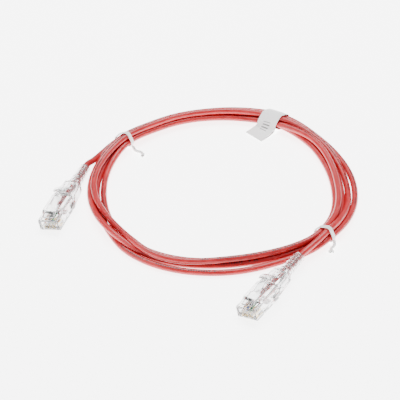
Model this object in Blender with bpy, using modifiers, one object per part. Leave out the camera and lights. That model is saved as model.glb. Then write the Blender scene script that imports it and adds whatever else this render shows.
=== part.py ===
"""Ethernet patch cable, wound in a flat coil and held by two twist ties.

Two metres of slim round cable run from plug a, four and a half turns round the coil, to plug b.
Each plug is a clear eight-way modular plug with gold blades, a sprung latch and a clear snap-on
boot, whose guard covers the latch. Every plug is modelled once in its own frame: +X towards the
nose, +Y to the plug's left, +Z towards the latch, with the origin under the middle of the nose.
"""

import math

import bmesh
import bpy
from mathutils import Vector

MM = 0.001
GAP = 0.3  # left between two pieces that touch

# Cable, all sizes in millimetres
CABLE_D = 3.5
WIRE_D = 0.86
WIRE_COUNT = 8

# Coil: a round ring on the resting surface
RING_CENTRE = (27.2, 48.3)
RING_SEGMENTS = 84
BUNDLE_SIDES = 12
BUNDLE_SHAPE = 2.8  # 2 is an oval section, more is squarer
BAND_SHAPE = 3.3
TIE_THICK = 0.8
TIE_WIDTH = 2.2
TIE_END_D = 1.7
LABEL_THICK = 0.3
LABEL_WIDTH = 12.0
LABEL_LEAF = 9.0
LABEL_TURN = -13.0
LABEL_SLACK = 2.0

TIE_A_ANGLE = 144.0
LABEL_ANGLE = 65.0
TIE_B_ANGLE = -38.0

# The bundle round the ring: angle, radius of its middle, then its innermost and outermost strand
# and its topmost strand, counted in cable diameters from the middle and from the lowest strand
BUNDLE = (
    (144.0, 66.1, -0.92, 1.1, 1.27),
    (108.0, 64.3, -0.92, 1.1, 1.27),
    (90.0, 64.6, -0.92, 1.1, 1.27),
    (65.0, 66.2, -0.92, 1.1, 1.27),
    (36.0, 66.3, -1.0, 1.1, 1.27),
    (12.0, 67.0, -1.3, 1.35, 0.87),
    (0.0, 67.8, -1.6, 1.6, 0.87),
    (-38.0, 69.9, -1.1, 0.92, 1.27),
    (-47.0, 69.1, -1.0, 0.25, 0.87),
    (-56.0, 67.3, -1.0, 0.55, 0.87),
    (-84.0, 65.5, -1.0, 1.62, 0.95),
    (-120.0, 69.4, -0.9, 1.1, 0.87),
    (-144.0, 68.6, -0.5, 1.0, 0.87),
    (-180.0, 67.6, -1.05, 1.05, 0.87),
    (-191.0, 67.0, -0.9, 0.75, 0.95),
    (-201.0, 66.5, -0.8, 0.6, 1.1),
)

# Eight-way modular plug
HOUSING_LENGTH = 21.46
HOUSING_WIDTH = 11.68
HOUSING_HEIGHT = 8.0
NOSE_HEIGHT = 6.6
NOSE_LENGTH = 6.2
NOSE_SLOPE = 1.4
NOSE_CHAMFER = 0.5
FRONT_WALL = 1.2
SIDE_WALL = 1.4
AXIS_HEIGHT = 3.9
ROW_STEP = 1.0
CONTACT_PITCH = 1.02
CONTACT_THICK = 0.3
CONTACT_FRONT = 0.9
CONTACT_LENGTH = 6.0
CONTACT_LOW = 0.45
TOOTH_HEIGHT = 0.7
SLOT_GAP = 0.14
WIRE_GAP = 0.12
WIRE_FAN_GAP = 0.074
WIRE_STRAIGHT = 7.2
JACKET_FRONT = 11.5
STRAIN_BAR_BACK = 15.5
STRAIN_BAR_LENGTH = 3.0
STRAIN_BAR_WIDTH = 6.0

# Latch lever, in the housing's moulding, on its living hinge at the nose
LATCH_HINGE_BACK = 2.2
LATCH_LENGTH = 18.5
LATCH_THICK = 0.9
LATCH_ANGLE = 11.5
LATCH_ROOT_WIDTH = 6.2
LATCH_ROOT_LENGTH = 8.6
LATCH_TAB_WIDTH = 3.3
LATCH_FRONT = 0.5
CHANNEL_WIDTH = 6.9
CHANNEL_LENGTH = 19.6
CHANNEL_REAR_HEIGHT = 7.8

# Boot behind the housing, and its guard over the latch
BOOT_LENGTH = 30.0
BLOCK_LENGTH = 14.5
BLOCK_END_WIDTH = 8.4
BLOCK_END_HEIGHT = 7.4
RELIEF_D = 5.4
RIB_COUNT = 5
RIB_LENGTH = 1.3
RIB_FIRST_D = 7.0
RIB_LAST_D = 5.9
WINDOW_LENGTH = 8.5
WINDOW_HEIGHT = 1.7
ARM_LENGTH = 6.0
ARM_THICK = 0.8
ARM_HEIGHT = 2.6
GUARD_HINGE_BACK = 5.0
GUARD_LENGTH = 7.8
GUARD_WIDTH = 7.6
GUARD_THICK = 0.8
GUARD_RISE = 3.95
GUARD_ARCH = 1.8
GUARD_CROWN = 0.8

# Where the plugs lie: boot's end over the surface, heading of the nose and roll about the plug's axis
PLUG_A = {"boot_end": (-46.85, 60.14), "heading": 251.0, "roll": 13.0}
PLUG_B = {"boot_end": (68.57, -15.14), "heading": 236.5, "roll": 13.0}

# Free cable from each boot to the coil, chosen along the way it lies
TAIL_A = ((-43.9, 68.45, 3.7), (-38.6, 77.75, 2.2))
TAIL_B = ((72.9, -8.55, 4.95),)

CLEAR = ("clear_polycarbonate", (0.93, 0.94, 0.95), 0.12, 0.0)
BOOT_CLEAR = ("clear_soft_plastic", (0.90, 0.91, 0.92), 0.25, 0.0)
RED = ("red_jacket", (0.62, 0.045, 0.04), 0.38, 0.0)
GOLD = ("gold_plate", (0.83, 0.61, 0.25), 0.22, 1.0)
TIE_WHITE = ("tie_white", (0.88, 0.88, 0.87), 0.4, 0.0)
PAPER = ("label_paper", (0.93, 0.93, 0.91), 0.7, 0.0)
WIRE_COLOURS = (
    ("white_orange", (0.85, 0.68, 0.52)),
    ("orange", (0.85, 0.33, 0.05)),
    ("white_green", (0.62, 0.80, 0.62)),
    ("blue", (0.05, 0.16, 0.55)),
    ("white_blue", (0.60, 0.68, 0.85)),
    ("green", (0.04, 0.38, 0.12)),
    ("white_brown", (0.72, 0.62, 0.54)),
    ("brown", (0.27, 0.13, 0.06)),
)


# Scene, collections and materials


def clear_scene():
    for item in list(bpy.data.objects):
        bpy.data.objects.remove(item, do_unlink=True)


def new_collection(name):
    made = bpy.data.collections.new(name)
    bpy.context.scene.collection.children.link(made)
    return made


def material(name, colour, roughness, metallic):
    found = bpy.data.materials.get(name)
    if found:
        return found
    made = bpy.data.materials.new(name)
    made.use_nodes = True
    shader = made.node_tree.nodes["Principled BSDF"]
    shader.inputs["Base Color"].default_value = (*colour, 1.0)
    shader.inputs["Roughness"].default_value = roughness
    shader.inputs["Metallic"].default_value = metallic
    made.diffuse_color = (*colour, 1.0)
    return made


def finish(item, name, look, parent=None):
    """Name a piece, give it its own material and put it on its plug."""
    item.name = name
    item.data.name = name
    item.data.materials.clear()
    item.data.materials.append(material(*look))
    move_to(item, PARTS)
    if parent:
        item.parent = parent
    return item


def move_to(item, collection):
    for other in list(item.users_collection):
        other.objects.unlink(item)
    collection.objects.link(item)


def set_smooth(item, degrees=35):
    item.data.shade_smooth()
    item.data.set_sharp_from_angle(angle=math.radians(degrees))


# Shapes


def box(low, high):
    """A box between two corners, in millimetres."""
    size = [(b - a) * MM for a, b in zip(low, high)]
    middle = [(a + b) / 2 * MM for a, b in zip(low, high)]
    bpy.ops.mesh.primitive_cube_add(size=1, location=middle)
    made = bpy.context.object
    made.scale = size
    bpy.ops.object.transform_apply(location=True, rotation=False, scale=True)
    return made


def cylinder(radius, start, length, sides=24):
    """A cylinder along X from start, in the plug's own frame."""
    bpy.ops.mesh.primitive_cylinder_add(vertices=sides, radius=radius * MM, depth=length * MM)
    made = bpy.context.object
    made.rotation_euler = (0, math.pi / 2, 0)
    made.location = ((start + length / 2) * MM, 0, AXIS_HEIGHT * MM)
    bpy.ops.object.transform_apply(location=True, rotation=True, scale=False)
    return made


def as_mesh(item):
    """The evaluated shape of an object as a mesh object in its place, with its caps welded."""
    graph = bpy.context.evaluated_depsgraph_get()
    data = bpy.data.meshes.new_from_object(item.evaluated_get(graph))
    work = bmesh.new()
    work.from_mesh(data)
    bmesh.ops.remove_doubles(work, verts=work.verts, dist=0.00001)
    work.to_mesh(data)
    work.free()
    made = bpy.data.objects.new(item.name, data)
    made.matrix_world = item.matrix_world.copy()
    bpy.context.scene.collection.objects.link(made)
    bpy.data.objects.remove(item, do_unlink=True)
    return made


def outline(points, thickness):
    """A flat outline in its XY plane, in millimetres, with half its thickness on each side."""
    curve = bpy.data.curves.new("outline", "CURVE")
    curve.dimensions = "2D"
    curve.fill_mode = "BOTH"
    curve.extrude = thickness / 2 * MM
    spline = curve.splines.new("POLY")
    spline.points.add(len(points) - 1)
    for point, (x, y) in zip(spline.points, points):
        point.co = (x * MM, y * MM, 0, 1)
    spline.use_cyclic_u = True
    made = bpy.data.objects.new("outline", curve)
    bpy.context.scene.collection.objects.link(made)
    return made


def side_plate(points, thickness, y=0.0):
    """A plate whose outline is drawn in X and Z, standing across the plug at y."""
    flat = outline(points, thickness)
    flat.rotation_euler = (math.pi / 2, 0, 0)
    flat.location = (0, y * MM, 0)
    bpy.context.view_layer.update()
    made = as_mesh(flat)
    apply_place(made)
    return made


def apply_place(item):
    item.data.transform(item.matrix_world)
    item.matrix_world.identity()


def tube(points, diameter, smooth_points=True):
    """A round tube along points in millimetres, with closed ends."""
    curve = bpy.data.curves.new("tube", "CURVE")
    curve.dimensions = "3D"
    curve.bevel_depth = diameter / 2 * MM
    curve.bevel_resolution = 2
    curve.use_fill_caps = True
    path = smooth(points, diameter * 2.5) if smooth_points else points
    spline = curve.splines.new("POLY")
    spline.points.add(len(path) - 1)
    for point, place in zip(spline.points, path):
        point.co = (*[value * MM for value in place], 1)
    made = bpy.data.objects.new("tube", curve)
    bpy.context.scene.collection.objects.link(made)
    return made


def smooth(points, step):
    """Points about step apart on a smooth curve through the given ones."""
    route = [Vector(point) for point in points]
    ends = [route[0] * 2 - route[1]] + route + [route[-1] * 2 - route[-2]]
    path = []
    for a, b, c, d in zip(ends, ends[1:], ends[2:], ends[3:]):
        count = max(1, round((c - b).length / step))
        for i in range(count):
            t = i / count
            path.append(
                0.5 * (2 * b + (c - a) * t + (2 * a - 5 * b + 4 * c - d) * t**2
                       + (3 * b - a - 3 * c + d) * t**3)
            )
    return path + [route[-1]]


def as_cutter(item):
    item.hide_render = True
    item.display_type = "WIRE"
    move_to(item, CUTTERS)
    return item


def boolean(item, other, operation="DIFFERENCE"):
    """Cut another shape from a piece, or join it on."""
    modifier = item.modifiers.new("cut", "BOOLEAN")
    modifier.operation = operation
    modifier.object = other
    modifier.solver = "EXACT"
    with bpy.context.temp_override(object=item, active_object=item):
        bpy.ops.object.modifier_apply(modifier=modifier.name)
    bpy.data.objects.remove(other, do_unlink=True)
    return item


def bevel(item, width, segments=1):
    modifier = item.modifiers.new("edges", "BEVEL")
    modifier.width = width * MM
    modifier.segments = segments
    modifier.limit_method = "ANGLE"
    return item


def ring(sides, corners, place):
    """A closed ring from a torus, each point put where place(turn, corner) says."""
    bpy.ops.mesh.primitive_torus_add(
        major_segments=sides, minor_segments=corners, major_radius=1.0, minor_radius=0.25
    )
    made = bpy.context.object
    for vertex in made.data.vertices:
        x, y, z = vertex.co
        turn = math.atan2(y, x)
        corner = math.atan2(z, math.hypot(x, y) - 1.0)
        vertex.co = [value * MM for value in place(turn, corner)]
    return made


# Cable coil, ties and label


def bundle_at(angle):
    """Radius, half width, height and foot of the bundle of strands at an angle, in degrees."""
    stations = BUNDLE + ((BUNDLE[0][0] - 360.0, *BUNDLE[0][1:]),)
    while angle > stations[0][0]:
        angle -= 360.0
    while angle < stations[-1][0]:
        angle += 360.0
    for first, second in zip(stations, stations[1:]):
        if angle >= second[0]:
            break
    t = (first[0] - angle) / (first[0] - second[0])
    t = t * t * (3 - 2 * t)
    radius, inner, outer, lift = (a + (b - a) * t for a, b in zip(first[1:], second[1:]))
    middle = radius + (inner + outer) / 2 * CABLE_D
    half = ((outer - inner) / 2 + 0.5) * CABLE_D
    return middle, half, (lift + 1) * CABLE_D, foot_at(angle)


def foot_at(angle):
    """The bundle is lifted a little where a tie or the label passes under it."""
    foot = 0.0
    for where, under in ((TIE_A_ANGLE, TIE_THICK), (TIE_B_ANGLE, TIE_THICK), (LABEL_ANGLE, LABEL_THICK)):
        away = abs((angle - where + 180.0) % 360.0 - 180.0)
        foot = max(foot, (under + GAP) * (1 + math.cos(math.pi * min(1.0, away / 22.0))) / 2)
    return foot


def rounded(turn, half_width, half_height, power):
    """A point on a rounded oblong."""
    c, s = math.cos(turn), math.sin(turn)
    return (
        half_width * math.copysign(abs(c) ** (2 / power), c),
        half_height * math.copysign(abs(s) ** (2 / power), s),
    )


def on_ring(angle, radius, height):
    turn = math.radians(angle)
    return (
        RING_CENTRE[0] + radius * math.cos(turn),
        RING_CENTRE[1] + radius * math.sin(turn),
        height,
    )


def make_coil():
    def place(turn, corner):
        angle = math.degrees(turn)
        middle, half, height, foot = bundle_at(angle)
        side, up = rounded(corner, half, height / 2, BUNDLE_SHAPE)
        return on_ring(angle, middle + side, foot + height / 2 + up)

    coil = ring(RING_SEGMENTS, BUNDLE_SIDES, place)
    set_smooth(coil, 60)
    finish(coil, "cable_coil", RED)


def band(angle, width, thick, slack, turned=0.0):
    """A band round the bundle at an angle, in a frame that stands across the strands."""
    middle, half, height, foot = bundle_at(angle)
    centre = Vector(on_ring(angle, middle, foot + height / 2))
    across = math.radians(angle + turned)
    outward = Vector((math.cos(across), math.sin(across), 0))
    along = Vector((-math.sin(across), math.cos(across), 0))

    def place(turn, corner):
        outer = math.cos(corner) > 0
        grow = GAP + (thick if outer else 0.0)
        side, up = rounded(turn, half + slack + grow, height / 2 + grow, BAND_SHAPE)
        shift = width / 2 * (1 if math.sin(corner) > 0 else -1)
        return centre + outward * side + Vector((0, 0, up)) + along * shift

    made = ring(28, 4, square_corners(place))
    return made, centre, outward, along


def square_corners(place):
    """Turns the four corners of a torus section by an eighth, so that the band lies flat."""
    return lambda turn, corner: place(turn, corner + math.pi / 4)


def make_tie(name, angle, end_route):
    """A flat twist tie round the strands, with its ends twisted together."""
    tie, centre, outward, along = band(angle, TIE_WIDTH, TIE_THICK, 0.0)
    middle, half, height, foot = bundle_at(angle)
    route = [
        centre + outward * (out * (half + GAP + TIE_THICK / 2) + far) + along * shift
        + Vector((0, 0, up - centre.z))
        for out, far, shift, up in end_route
    ]
    end = as_mesh(tube(route, TIE_END_D))
    boolean(tie, end, "UNION")
    set_smooth(tie, 40)
    finish(tie, name, TIE_WHITE)


def make_label():
    """A paper label wrapped round the strands, its ends glued into a leaf inside the coil."""
    label, centre, outward, along = band(
        LABEL_ANGLE, LABEL_WIDTH, LABEL_THICK, LABEL_SLACK, LABEL_TURN
    )
    middle, half, height, foot = bundle_at(LABEL_ANGLE)
    inner = -(half + LABEL_SLACK + GAP + LABEL_THICK / 2)
    low = centre + outward * (inner - LABEL_LEAF)
    leaf = box(
        (-LABEL_LEAF, -LABEL_WIDTH / 2 + 0.02, -LABEL_THICK),
        (LABEL_THICK / 3, LABEL_WIDTH / 2 - 0.02, LABEL_THICK),
    )
    drop = centre.z - 2 * LABEL_THICK
    leaf.rotation_euler = (0, -math.asin(drop / LABEL_LEAF) * 0.9, math.radians(LABEL_ANGLE + LABEL_TURN))
    leaf.location = (centre + outward * inner) * MM
    bpy.context.view_layer.update()
    apply_place(leaf)
    boolean(label, leaf, "UNION")
    finish(label, "length_label", PAPER)
    return low


def make_tails():
    for letter, plug, route in (("a", PLUG_A, TAIL_A), ("b", PLUG_B, TAIL_B)):
        back = HOUSING_LENGTH + GAP + BOOT_LENGTH
        leaving = [plug_point(plug, -back - GAP, 0, AXIS_HEIGHT), plug_point(plug, -back - 4, 0, AXIS_HEIGHT)]
        tail = tube([*leaving, *route], CABLE_D)
        finish(tail, f"cable_tail_{letter}", RED)


# Plugs


def plug_lift(plug):
    """How far the middle of the underside stands above the surface, the plug lying on one edge."""
    return HOUSING_WIDTH / 2 * math.sin(math.radians(abs(plug["roll"])))


def plug_nose(plug):
    """Where the front of the plug comes, a housing and a boot away from the boot's end."""
    back = HOUSING_LENGTH + GAP + BOOT_LENGTH
    heading = math.radians(plug["heading"])
    return (
        plug["boot_end"][0] + back * math.cos(heading),
        plug["boot_end"][1] + back * math.sin(heading),
    )


def plug_point(plug, x, y, z):
    """A point of the plug's own frame in the layout, in millimetres."""
    nose = plug_nose(plug)
    heading = math.radians(plug["heading"])
    roll = math.radians(plug["roll"])
    side = y * math.cos(roll) - z * math.sin(roll)
    up = y * math.sin(roll) + z * math.cos(roll)
    return (
        nose[0] + x * math.cos(heading) - side * math.sin(heading),
        nose[1] + x * math.sin(heading) + side * math.cos(heading),
        plug_lift(plug) + up,
    )


def contact_side(number):
    """Sideways place of a contact, pin 1 on the plug's right."""
    return (number - (WIRE_COUNT + 1) / 2) * CONTACT_PITCH


def row_height(number):
    """Height of a wire's middle: the wires lie in two rows, odd pins low and even pins high."""
    return AXIS_HEIGHT + ROW_STEP / 2 * (1 if number % 2 == 0 else -1)


def cavity_floor():
    return row_height(1) - WIRE_D / 2 - GAP


def cavity_roof():
    return row_height(2) + WIRE_D / 2 + GAP


def make_housing(letter, frame):
    """The clear shell: a stepped nose, a cable cavity open at the back and eight blade slots."""
    profile = (
        (0, NOSE_CHAMFER),
        (0, NOSE_HEIGHT - NOSE_CHAMFER),
        (-NOSE_CHAMFER, NOSE_HEIGHT),
        (-NOSE_LENGTH, NOSE_HEIGHT),
        (-NOSE_LENGTH - NOSE_SLOPE, HOUSING_HEIGHT),
        (-HOUSING_LENGTH, HOUSING_HEIGHT),
        (-HOUSING_LENGTH, 0),
        (-NOSE_CHAMFER, 0),
    )
    housing = side_plate(profile, HOUSING_WIDTH)
    inside = HOUSING_WIDTH / 2 - SIDE_WALL
    back = -HOUSING_LENGTH - 1
    wires = box((-JACKET_FRONT, -inside, cavity_floor()), (-FRONT_WALL, inside, cavity_roof()))
    boolean(housing, wires)
    room = CABLE_D / 2 + 2 * GAP
    fan = -WIRE_STRAIGHT - 1.2
    jacket = box((back, -inside, AXIS_HEIGHT - room), (fan, inside, AXIS_HEIGHT + room))
    boolean(housing, jacket)
    bar = box(
        (-STRAIN_BAR_BACK - GAP, -STRAIN_BAR_WIDTH / 2 - GAP, -1),
        (-STRAIN_BAR_BACK + STRAIN_BAR_LENGTH + GAP, STRAIN_BAR_WIDTH / 2 + GAP, AXIS_HEIGHT),
    )
    boolean(housing, bar)
    for number in range(1, WIRE_COUNT + 1):
        half = CONTACT_THICK / 2 + SLOT_GAP
        y = contact_side(number)
        slot = box(
            (-CONTACT_FRONT - CONTACT_LENGTH - GAP, y - half, -1), (1, y + half, blade_neck(2) + GAP)
        )
        boolean(housing, slot)
    channel = side_plate(
        (
            (-NOSE_LENGTH + 1, NOSE_HEIGHT),
            (-CHANNEL_LENGTH, CHANNEL_REAR_HEIGHT),
            (-CHANNEL_LENGTH, HOUSING_HEIGHT + 1),
            (-NOSE_LENGTH + 1, HOUSING_HEIGHT + 1),
        ),
        CHANNEL_WIDTH,
    )
    boolean(housing, channel)
    finish(housing, f"housing_{letter}", CLEAR, frame)


def make_strain_bar(letter, frame):
    """The bar that the crimping tool presses up against the jacket."""
    top = AXIS_HEIGHT - CABLE_D / 2 - GAP / 2
    profile = (
        (-STRAIN_BAR_BACK, 0.6),
        (-STRAIN_BAR_BACK + STRAIN_BAR_LENGTH, 0.3),
        (-STRAIN_BAR_BACK + STRAIN_BAR_LENGTH, top - 0.5),
        (-STRAIN_BAR_BACK + STRAIN_BAR_LENGTH - 0.8, top),
        (-STRAIN_BAR_BACK, top),
    )
    bar = side_plate(profile, STRAIN_BAR_WIDTH)
    finish(bar, f"strain_bar_{letter}", CLEAR, frame)


def blade_neck(number):
    """Height of a blade's top edge between its teeth."""
    return row_height(number) - WIRE_D / 2 - WIRE_GAP - TOOTH_HEIGHT


def make_contact(letter, number, frame):
    """A gold-plated blade, pressed up into its wire on two teeth."""
    front = -CONTACT_FRONT
    back = front - CONTACT_LENGTH
    top = row_height(number) - WIRE_D / 2 - WIRE_GAP
    neck = blade_neck(number)
    profile = (
        (front - 0.5, CONTACT_LOW),
        (front - 0.15, CONTACT_LOW + 0.15),
        (front, CONTACT_LOW + 0.5),
        (front, neck),
        (front - 0.9, neck),
        (front - 1.3, top),
        (front - 1.7, neck),
        (front - 3.9, neck),
        (front - 4.3, top),
        (front - 4.7, neck),
        (back, neck),
        (back, CONTACT_LOW),
    )
    blade = side_plate(profile, CONTACT_THICK, contact_side(number))
    finish(blade, f"contact_{letter}_{number}", GOLD, frame)


def wire_start(number):
    """Where a wire leaves the jacket: eight wires lie in a circle, odd pins below."""
    pair = (number - 1) // 2
    angle = 22.5 + 45 * pair
    turn = math.radians(180 - angle) if number % 2 == 0 else math.radians(180 + angle)
    radius = (WIRE_D + WIRE_FAN_GAP) / (2 * math.sin(math.pi / WIRE_COUNT))
    return radius * math.cos(turn), AXIS_HEIGHT + radius * math.sin(turn)


def make_wire(letter, number, frame):
    y, z = wire_start(number)
    to_y, to_z = contact_side(number), row_height(number)
    start = -JACKET_FRONT + GAP
    run = (JACKET_FRONT - GAP - WIRE_STRAIGHT) / 4
    route = [(start, y, z)]
    for step, share in ((1, 0.16), (2, 0.5), (3, 0.84)):
        route.append((start + step * run, y + (to_y - y) * share, z + (to_z - z) * share))
    route += [(-WIRE_STRAIGHT, to_y, to_z), (-FRONT_WALL - 2 * GAP, to_y, to_z)]
    wire = tube(route, WIRE_D, False)
    name, colour = WIRE_COLOURS[number - 1]
    finish(wire, f"wire_{letter}_{number}", (f"wire_{name}", colour, 0.4, 0.0), frame)


def make_jacket_end(letter, frame):
    """The cable's own jacket inside the boot and the housing."""
    back = -HOUSING_LENGTH - GAP - BOOT_LENGTH
    count = 6
    points = [
        (back + (-JACKET_FRONT - back) * i / count, 0, AXIS_HEIGHT) for i in range(count + 1)
    ]
    jacket = tube(points, CABLE_D, False)
    finish(jacket, f"jacket_end_{letter}", RED, frame)


def make_latch(letter, frame):
    """The sprung lever: wide at its root, stepped to a narrow thumb tab."""
    wide, slim = LATCH_ROOT_WIDTH / 2, LATCH_TAB_WIDTH / 2
    points = (
        (LATCH_FRONT, -wide),
        (LATCH_FRONT, wide),
        (-LATCH_ROOT_LENGTH, wide),
        (-LATCH_ROOT_LENGTH, slim),
        (-LATCH_LENGTH + 0.6, slim),
        (-LATCH_LENGTH, slim - 0.6),
        (-LATCH_LENGTH, -slim + 0.6),
        (-LATCH_LENGTH + 0.6, -slim),
        (-LATCH_ROOT_LENGTH, -slim),
        (-LATCH_ROOT_LENGTH, -wide),
    )
    lever = as_mesh(outline(points, LATCH_THICK))
    finish(lever, f"latch_{letter}", CLEAR, frame)
    lever.location = [value * MM for value in latch_hinge()]
    lever.rotation_euler = (0, math.radians(LATCH_ANGLE), 0)


def latch_hinge():
    drop = LATCH_FRONT * math.sin(math.radians(LATCH_ANGLE))
    return (-LATCH_HINGE_BACK, 0, NOSE_HEIGHT + GAP + LATCH_THICK / 2 + drop)


def guard_hinge():
    back = HOUSING_LENGTH + GAP + GUARD_HINGE_BACK
    return (-back, 0, HOUSING_HEIGHT + GAP + GUARD_THICK / 2)


def make_guard(letter, frame):
    """The boot's hood over the latch: a thin crowned tongue on its own living hinge."""
    bpy.ops.mesh.primitive_grid_add(x_subdivisions=6, y_subdivisions=6, size=1)
    guard = bpy.context.object
    for vertex in guard.data.vertices:
        along = vertex.co.x + 0.5
        side = vertex.co.y * 2
        narrow = 1 - 0.22 * along**2
        rise = GUARD_RISE * (1 - (1 - along) ** GUARD_ARCH)
        crown = GUARD_CROWN * side**2 * along
        vertex.co = (
            along * GUARD_LENGTH * MM,
            side * GUARD_WIDTH / 2 * narrow * MM,
            (rise - crown) * MM,
        )
    shell = guard.modifiers.new("wall", "SOLIDIFY")
    shell.thickness = GUARD_THICK * MM
    shell.offset = 0
    finish(guard, f"latch_guard_{letter}", BOOT_CLEAR, frame)
    set_smooth(guard, 50)
    guard.location = [value * MM for value in guard_hinge()]


def rib_centre(index):
    """Distance of a rib's middle behind the boot's front face."""
    first = BLOCK_LENGTH + RIB_LENGTH
    last = BOOT_LENGTH - RIB_LENGTH / 2
    return first + (last - first) * index / (RIB_COUNT - 1)


def make_boot(letter, frame):
    """The clear boot: a tapered block with windows and side arms, then a ribbed strain relief."""
    front = -HOUSING_LENGTH - GAP
    block = box((front - BLOCK_LENGTH, -HOUSING_WIDTH / 2, 0), (front, HOUSING_WIDTH / 2, HOUSING_HEIGHT))
    for vertex in block.data.vertices:
        if vertex.co.x < (front - BLOCK_LENGTH / 2) * MM:
            vertex.co.y *= BLOCK_END_WIDTH / HOUSING_WIDTH
            middle = HOUSING_HEIGHT / 2 * MM
            reach = (vertex.co.z - middle) * BLOCK_END_HEIGHT / HOUSING_HEIGHT
            vertex.co.z = AXIS_HEIGHT * MM + reach
    bevel(block, 1.0, 2)
    boot = as_mesh(block)
    boolean(boot, cylinder(RELIEF_D / 2, front - BOOT_LENGTH, BOOT_LENGTH - BLOCK_LENGTH + 1, 20), "UNION")
    for index in range(RIB_COUNT):
        share = index / (RIB_COUNT - 1)
        radius = (RIB_FIRST_D + (RIB_LAST_D - RIB_FIRST_D) * share) / 2
        start = front - rib_centre(index) - RIB_LENGTH / 2
        boolean(boot, cylinder(radius, start, RIB_LENGTH, 20), "UNION")
    for side in (-1, 1):
        inner = HOUSING_WIDTH / 2 + GAP
        near, far = sorted((side * inner, side * (inner + ARM_THICK)))
        near_foot, far_foot = sorted((side * (inner - GAP - 0.8), side * (inner + ARM_THICK)))
        low, high = AXIS_HEIGHT - ARM_HEIGHT / 2, AXIS_HEIGHT + ARM_HEIGHT / 2
        boolean(boot, box((front - 2.5, near_foot, low), (front - 0.02, far_foot, high)), "UNION")
        boolean(boot, box((front - 1.0, near, low), (front + ARM_LENGTH, far, high)), "UNION")
    bore = cylinder(CABLE_D / 2 + GAP, front - BOOT_LENGTH - 1, BOOT_LENGTH + 2, 20)
    boolean(boot, bore)
    hollow_end = front - BLOCK_LENGTH + 2.5
    hollow = box((hollow_end, -HOUSING_WIDTH / 2 + 2.6, 1.3), (front + 1, HOUSING_WIDTH / 2 - 2.6, HOUSING_HEIGHT - 1.3))
    boolean(boot, hollow)
    window_back = front - 3.0 - WINDOW_LENGTH
    middle = AXIS_HEIGHT
    side_window = box(
        (window_back, -HOUSING_WIDTH, middle - WINDOW_HEIGHT / 2),
        (front - 3.0, HOUSING_WIDTH, middle + WINDOW_HEIGHT / 2),
    )
    boolean(boot, side_window)
    for side in (-1, 1):
        inner, outer = sorted((side * 0.7, side * 2.3))
        boolean(boot, box((window_back, inner, middle), (front - 6.5, outer, HOUSING_HEIGHT + 1)))
    finish(boot, f"boot_{letter}", BOOT_CLEAR, frame)
    set_smooth(boot, 30)


def make_plug(letter, plug):
    frame = bpy.data.objects.new(f"plug_{letter}_frame", None)
    PARTS.objects.link(frame)
    make_housing(letter, frame)
    make_strain_bar(letter, frame)
    make_latch(letter, frame)
    make_boot(letter, frame)
    make_guard(letter, frame)
    make_jacket_end(letter, frame)
    for number in range(1, WIRE_COUNT + 1):
        make_contact(letter, number, frame)
        make_wire(letter, number, frame)
    nose = plug_nose(plug)
    frame.location = (nose[0] * MM, nose[1] * MM, plug_lift(plug) * MM)
    frame.rotation_euler = (math.radians(plug["roll"]), 0, math.radians(plug["heading"]))


clear_scene()
PARTS = new_collection("ethernet_patch_cable")
CUTTERS = new_collection("cutters")
make_coil()
make_tails()
make_tie("twist_tie_a", TIE_A_ANGLE, ((-1, 0, 0, 2.2), (-1, -3.2, 1.2, 1.3), (-1, -6.4, 0.6, 1.2), (-1, -9.0, 2.4, 1.3)))
make_tie("twist_tie_b", TIE_B_ANGLE, ((1, 0, 0, 2.6), (1, 1.6, -2.2, 1.6), (1, 1.8, -5.2, 1.3), (1, 3.4, -7.6, 1.4)))
make_label()
make_plug("a", PLUG_A)
make_plug("b", PLUG_B)
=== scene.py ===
# %% [markdown]
# # Ethernet patch cable, wound in a flat coil
# The real object is two metres of slim round cable with a clear eight-way modular plug on each
# end. It is wound in a flat coil about 145 mm across, and two twist ties hold the turns. The
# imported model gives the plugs, the boots, the latches and plain solids for the coil. This lesson
# winds the real strands, and gives every piece its finish.

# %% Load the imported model
import math

import bmesh
import bpy
import numpy as np
from mathutils import Matrix, Vector


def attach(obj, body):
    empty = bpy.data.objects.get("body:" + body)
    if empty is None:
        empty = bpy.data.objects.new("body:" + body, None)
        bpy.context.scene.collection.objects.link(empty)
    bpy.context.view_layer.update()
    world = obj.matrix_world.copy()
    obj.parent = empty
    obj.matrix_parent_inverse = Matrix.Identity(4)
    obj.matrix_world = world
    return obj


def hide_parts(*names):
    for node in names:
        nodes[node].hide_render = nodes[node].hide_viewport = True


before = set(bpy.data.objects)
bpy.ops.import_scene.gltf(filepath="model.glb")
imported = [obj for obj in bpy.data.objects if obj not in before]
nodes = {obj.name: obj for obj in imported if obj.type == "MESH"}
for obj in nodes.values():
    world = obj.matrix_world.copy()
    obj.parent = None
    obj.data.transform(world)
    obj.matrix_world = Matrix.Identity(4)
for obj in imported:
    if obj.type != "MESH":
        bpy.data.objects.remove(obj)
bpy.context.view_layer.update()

# %% [markdown]
# The part lies on a table. The ring of the coil is round from above, and its middle is not the
# part's origin, which is midway between the two plugs. Every length here is in metres. Angles
# round the ring are in degrees, anticlockwise from +X as seen from above.

# %% Sizes shared by the pieces
MM = 0.001
CABLE_D = 3.5 * MM
RING_CENTRE = Vector((27.2 * MM, 48.3 * MM, 0))
LAP_START = 142.0
TIE_A_ANGLE = 144.0
LABEL_ANGLE = 62.0
TIE_B_ANGLE = -38.0
TIE_THICK = 0.8 * MM
LABEL_UNDER = 0.2 * MM
GAP = 0.3 * MM
# A hair's width keeps two surfaces from lying in exactly the same place.
HAIR = 0.01 * MM

HOUSING_LENGTH = 21.46 * MM
HOUSING_WIDTH = 11.68 * MM
BOOT_LENGTH = 30.0 * MM
AXIS_HEIGHT = 3.9 * MM
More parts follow.
